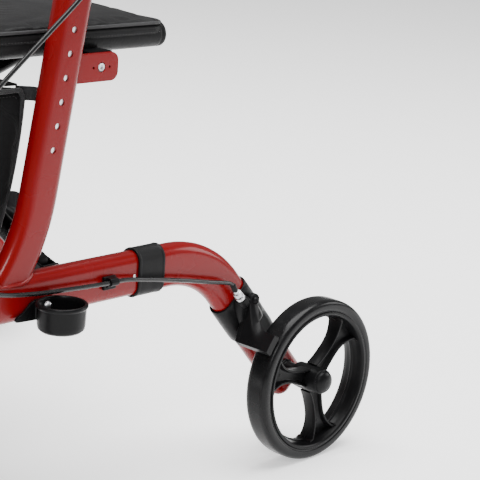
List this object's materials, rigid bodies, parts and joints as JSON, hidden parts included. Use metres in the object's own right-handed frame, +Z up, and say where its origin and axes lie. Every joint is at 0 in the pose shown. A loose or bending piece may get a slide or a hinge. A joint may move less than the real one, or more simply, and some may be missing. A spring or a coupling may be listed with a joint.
{
  "type": "rollator walker",
  "caption": "Side-folding rollator walker: red oval-tube side frames, X-brace, padded seat, four black wheels, hand brakes, cane cup, bag and back strap.",
  "frame": {"origin": "on the floor, below the middle of the wheelbase and of the width", "axes": "+Z up, the walker rolls forward towards -Y, +X is its left side"},
  "size_m": [0.7092, 0.7882, 0.9035],
  "materials": {
    "red_paint": "gloss",
    "black_plastic": "satin",
    "black_paint": "satin",
    "tyre_rubber": "matte",
    "grip_rubber": "matte",
    "steel": "satin",
    "bright_aluminium": "satin",
    "cable_casing": "gloss",
    "seat_vinyl": "satin",
    "bag_nylon": "matte"
  },
  "bodies": {
    "left_frame": {"rail_left": "red_paint", "rail_end_plug_left": "red_paint", "upright_left": "red_paint", "head_tube_left": "red_paint", "seat_bracket_left": "red_paint", "seat_saddle_left": "black_plastic", "bracket_bolt_left": "steel", "rail_band_left": "grip_rubber", "rear_axle_left": "black_paint", "brake_sleeve_left": "black_plastic", "cable_adjuster_left": "steel", "cable_clip_left": "black_plastic", "brake_cable_left": "cable_casing", "brace_foot_left": "black_paint", "bag": "bag_nylon", "back_strap": "bag_nylon", "cane_cup": "black_plastic", "cup_bolt": "steel"},
    "right_frame": {"rail_right": "red_paint", "rail_end_plug_right": "red_paint", "upright_right": "red_paint", "head_tube_right": "red_paint", "seat_bracket_right": "red_paint", "seat_saddle_right": "black_plastic", "bracket_bolt_right": "steel", "rail_band_right": "grip_rubber", "rear_axle_right": "black_paint", "brake_sleeve_right": "black_plastic", "cable_adjuster_right": "steel", "cable_clip_right": "black_plastic", "brake_cable_right": "cable_casing", "brace_foot_right": "black_paint"},
    "brace_a": {"brace_arm_a": "black_paint", "brace_pivot_bolt": "steel"},
    "brace_b": {"brace_arm_b": "black_paint"},
    "seat": {"seat": "seat_vinyl"},
    "left_handle": {"handle_post_left": "bright_aluminium", "handle_head_left": "black_plastic", "grip_left": "grip_rubber"},
    "left_brake_lever": {"brake_lever_left": "black_plastic"},
    "left_brake_arm": {"brake_arm_left": "black_plastic"},
    "left_rear_wheel": {"rear_rim_left": "black_plastic", "rear_tyre_left": "tyre_rubber"},
    "left_caster": {"caster_fork_left": "black_paint", "front_axle_left": "steel"},
    "left_front_wheel": {"front_rim_left": "black_plastic", "front_tyre_left": "tyre_rubber"},
    "left_knob": {"knob_left": "black_plastic"},
    "right_handle": {"handle_post_right": "bright_aluminium", "handle_head_right": "black_plastic", "grip_right": "grip_rubber"},
    "right_brake_lever": {"brake_lever_right": "black_plastic"},
    "right_brake_arm": {"brake_arm_right": "black_plastic"},
    "right_rear_wheel": {"rear_rim_right": "black_plastic", "rear_tyre_right": "tyre_rubber"},
    "right_caster": {"caster_fork_right": "black_paint", "front_axle_right": "steel"},
    "right_front_wheel": {"front_rim_right": "black_plastic", "front_tyre_right": "tyre_rubber"},
    "right_knob": {"knob_right": "black_plastic"}
  },
  "joints": [
    {"name": "fold", "type": "hinge", "parent": "left_frame", "child": "brace_a", "pos_m": [0.232, -0.075, 0.285], "axis": [0, 1, 0], "range_deg": [0, 35], "deforming": ["seat", "bag", "back_strap"]},
    {"name": "brace_cross", "type": "hinge", "parent": "brace_a", "child": "brace_b", "pos_m": [0, -0.084, 0.406], "axis": [0, 1, 0], "range_deg": [-70, 0]},
    {"name": "right_foot", "type": "hinge", "parent": "brace_b", "child": "right_frame", "pos_m": [-0.232, -0.093, 0.285], "axis": [0, 1, 0], "range_deg": [0, 35]},
    {"name": "seat_swing", "type": "hinge", "parent": "brace_a", "child": "seat", "pos_m": [-0.232, -0.0575, 0.527], "axis": [0, 1, 0], "range_deg": [-35, 0]},
    {"name": "left_handle_height", "type": "slide", "parent": "left_frame", "child": "left_handle", "axis": [0, 0.184, 0.9829], "range_m": [0, 0.1016], "deforming": ["brake_cable_left"]},
    {"name": "left_lever_squeeze", "type": "hinge", "parent": "left_handle", "child": "left_brake_lever", "pos_m": [0.27, 0.02, 0.848], "axis": [1, 0, 0], "range_deg": [0, 20], "stiffness_Nm_per_rad": 1.2, "springref_deg": -14.32},
    {"name": "left_brake_press", "type": "hinge", "parent": "left_frame", "child": "left_brake_arm", "pos_m": [0.29, 0.21726, 0.20609], "axis": [1, 0, 0], "range_deg": [0, 3]},
    {"name": "left_rear_roll", "type": "hinge", "parent": "left_frame", "child": "left_rear_wheel", "pos_m": [0.326, 0.2925, 0.1016], "axis": [1, 0, 0], "continuous": true},
    {"name": "left_caster_swivel", "type": "hinge", "parent": "left_frame", "child": "left_caster", "pos_m": [0.27, -0.3375, 0.26], "axis": [0, 0, 1], "continuous": true},
    {"name": "left_front_roll", "type": "hinge", "parent": "left_caster", "child": "left_front_wheel", "pos_m": [0.27, -0.2925, 0.1016], "axis": [1, 0, 0], "continuous": true},
    {"name": "left_knob_turn", "type": "hinge", "parent": "left_frame", "child": "left_knob", "pos_m": [0.292, -0.0618, 0.622], "axis": [1, 0, 0], "continuous": true},
    {"name": "right_handle_height", "type": "slide", "parent": "right_frame", "child": "right_handle", "axis": [0, 0.184, 0.9829], "range_m": [0, 0.1016], "deforming": ["brake_cable_right"]},
    {"name": "right_lever_squeeze", "type": "hinge", "parent": "right_handle", "child": "right_brake_lever", "pos_m": [-0.27, 0.02, 0.848], "axis": [1, 0, 0], "range_deg": [0, 20], "stiffness_Nm_per_rad": 1.2, "springref_deg": -14.32},
    {"name": "right_brake_press", "type": "hinge", "parent": "right_frame", "child": "right_brake_arm", "pos_m": [-0.29, 0.21726, 0.20609], "axis": [1, 0, 0], "range_deg": [0, 3]},
    {"name": "right_rear_roll", "type": "hinge", "parent": "right_frame", "child": "right_rear_wheel", "pos_m": [-0.326, 0.2925, 0.1016], "axis": [1, 0, 0], "continuous": true},
    {"name": "right_caster_swivel", "type": "hinge", "parent": "right_frame", "child": "right_caster", "pos_m": [-0.27, -0.3375, 0.26], "axis": [0, 0, 1], "continuous": true},
    {"name": "right_front_roll", "type": "hinge", "parent": "right_caster", "child": "right_front_wheel", "pos_m": [-0.27, -0.2925, 0.1016], "axis": [1, 0, 0], "continuous": true},
    {"name": "right_knob_turn", "type": "hinge", "parent": "right_frame", "child": "right_knob", "pos_m": [-0.292, -0.0618, 0.622], "axis": [1, 0, 0], "continuous": true}
  ],
  "couplings": [
    {"joint": "brace_cross", "follows": "fold", "ratio": -2},
    {"joint": "right_foot", "follows": "fold", "ratio": 1},
    {"joint": "seat_swing", "follows": "fold", "ratio": -1},
    {"joint": "left_brake_press", "follows": "left_lever_squeeze", "ratio": 0.15},
    {"joint": "right_brake_press", "follows": "right_lever_squeeze", "ratio": 0.15}
  ]
}
